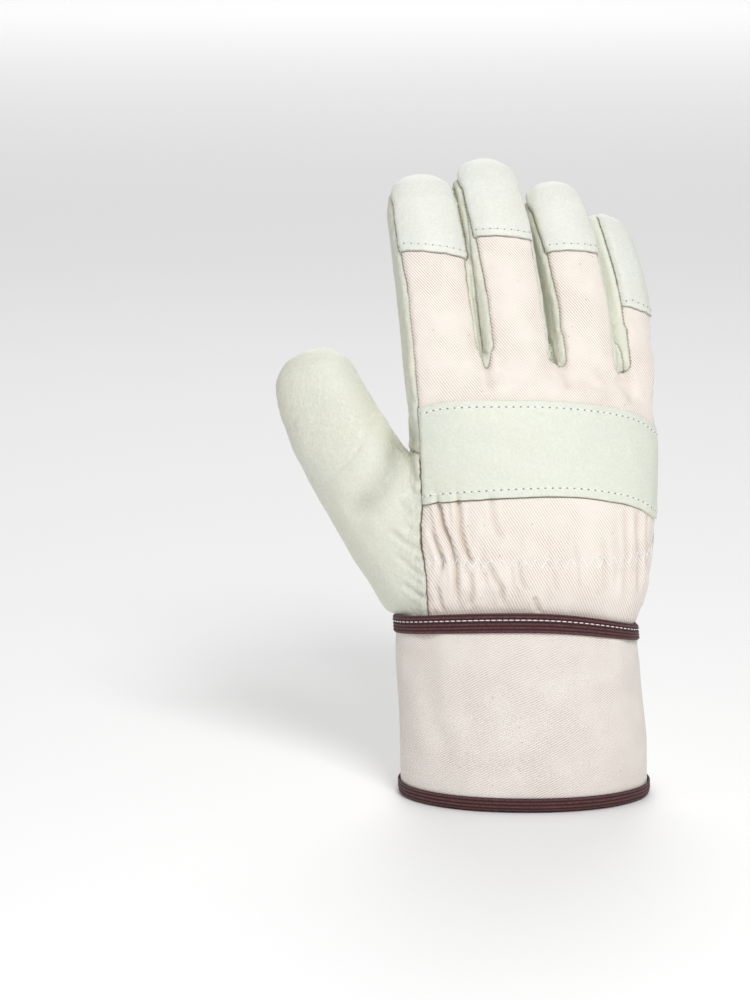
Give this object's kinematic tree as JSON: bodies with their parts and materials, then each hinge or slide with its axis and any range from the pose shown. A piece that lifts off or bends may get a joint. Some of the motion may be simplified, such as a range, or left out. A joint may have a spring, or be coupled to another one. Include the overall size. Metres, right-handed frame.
{
  "type": "leather work glove",
  "caption": "Lined work glove for the right hand with a leather palm, drill back, knuckle strap and stiff bound cuff.",
  "frame": {"origin": "middle of the cuff's mouth, in the plane of its hem, where the hand goes in", "axes": "+Z from the cuff's hem to the fingertips, -Y out of the back of the hand, +Y out of the palm, -X to the thumb's side"},
  "size_m": [0.1588, 0.1173, 0.2567],
  "materials": {
    "leather": "soft pale grain leather",
    "drill": "unbleached cotton drill",
    "cuff_drill": "stiffened cotton drill",
    "braid": "ribbed dark maroon braid"
  },
  "bodies": {
    "root": {"back_drill": "drill", "palm_leather": "leather", "thumb_leather": "leather", "index_front": "leather", "index_tip_cap": "leather", "middle_front": "leather", "middle_tip_cap": "leather", "ring_front": "leather", "ring_tip_cap": "leather", "little_front": "leather", "little_tip_cap": "leather", "knuckle_strap": "leather", "cuff_drill": "cuff_drill", "cuff_seam_binding": "braid", "hem_binding": "braid", "pulse_patch": "leather"}
  },
  "joints": []
}
